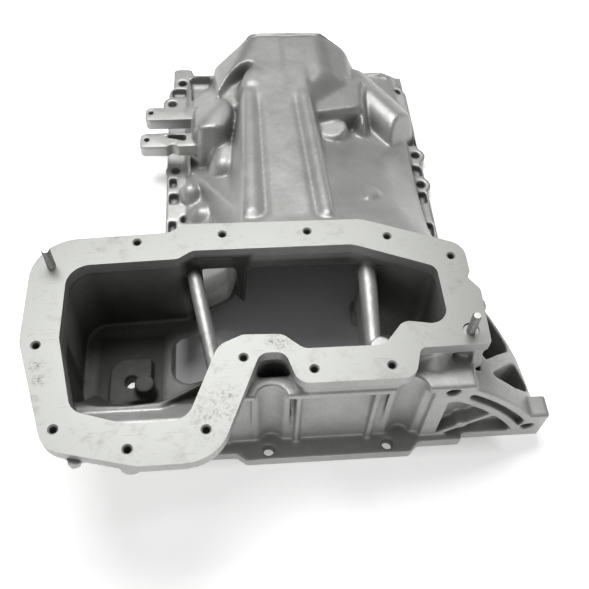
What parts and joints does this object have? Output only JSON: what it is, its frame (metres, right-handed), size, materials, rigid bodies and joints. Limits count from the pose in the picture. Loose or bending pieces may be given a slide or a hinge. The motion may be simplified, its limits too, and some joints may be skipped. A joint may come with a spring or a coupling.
{
  "type": "engine oil pan",
  "caption": "Cast upper oil pan for a vee engine: shallow ribbed front half, deep rear sump with a machined flange, studs and a gearbox wing.",
  "frame": {"origin": "midway between the two rear rail bolts, on the block face", "axes": "+Z from the block face to the sump flange, +Y to the front of the engine, +X to the gearbox wing; the pan stands upside down, as pictured"},
  "size_m": [0.407, 0.5225, 0.14],
  "materials": {
    "cast_aluminium": "satin as cast, flange machined pale",
    "steel": "plain zinc plated"
  },
  "bodies": {
    "root": {"oil_pan_casting": "cast_aluminium", "stud_left": "steel", "stud_right": "steel"}
  },
  "joints": []
}
